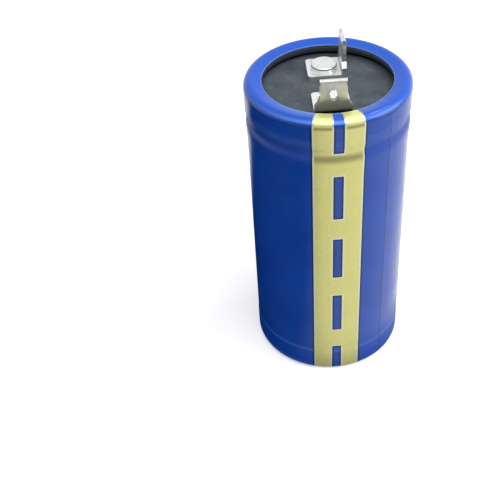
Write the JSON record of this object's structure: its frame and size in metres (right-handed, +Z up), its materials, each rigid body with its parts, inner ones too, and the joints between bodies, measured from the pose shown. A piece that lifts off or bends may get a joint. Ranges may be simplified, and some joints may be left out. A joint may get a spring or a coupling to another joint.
{
  "type": "supercapacitor cell",
  "caption": "Cylindrical energy storage cell: sleeved aluminium can with a rolled bead and curled rim, a dashed polarity stripe, and riveted blade terminals on a recessed rubber deck.",
  "frame": {"origin": "centre of the base, on the surface that the cell stands on", "axes": "+Z up the cell's axis towards the terminals, -Y towards the negative terminal and its stripe, +X towards the side on which the positive blade stands"},
  "size_m": [0.036, 0.036, 0.0791],
  "materials": {
    "sleeve_film": "glossy shrunk film",
    "stripe_print": "satin metallic print",
    "can_metal": "drawn",
    "deck_rubber": "matte",
    "board_phenolic": "pressed laminate",
    "tab_tin": "tin plated",
    "rivet_metal": "bright",
    "lead_metal": "rolled",
    "winding_foil": "carbon coated foil and paper",
    "tape_film": "film",
    "insulator_paper": "pressboard"
  },
  "bodies": {
    "root": {"sleeve": "sleeve_film", "polarity_stripe": "stripe_print", "can": "can_metal", "sealing_rubber": "deck_rubber", "terminal_board": "board_phenolic", "negative_tab": "tab_tin", "positive_tab": "tab_tin", "negative_rivet": "rivet_metal", "positive_rivet": "rivet_metal", "negative_washer": "lead_metal", "positive_washer": "lead_metal", "negative_lead": "lead_metal", "positive_lead": "lead_metal", "winding": "winding_foil", "winding_tape": "tape_film", "upper_insulator": "insulator_paper", "base_insulator": "insulator_paper"}
  },
  "joints": []
}
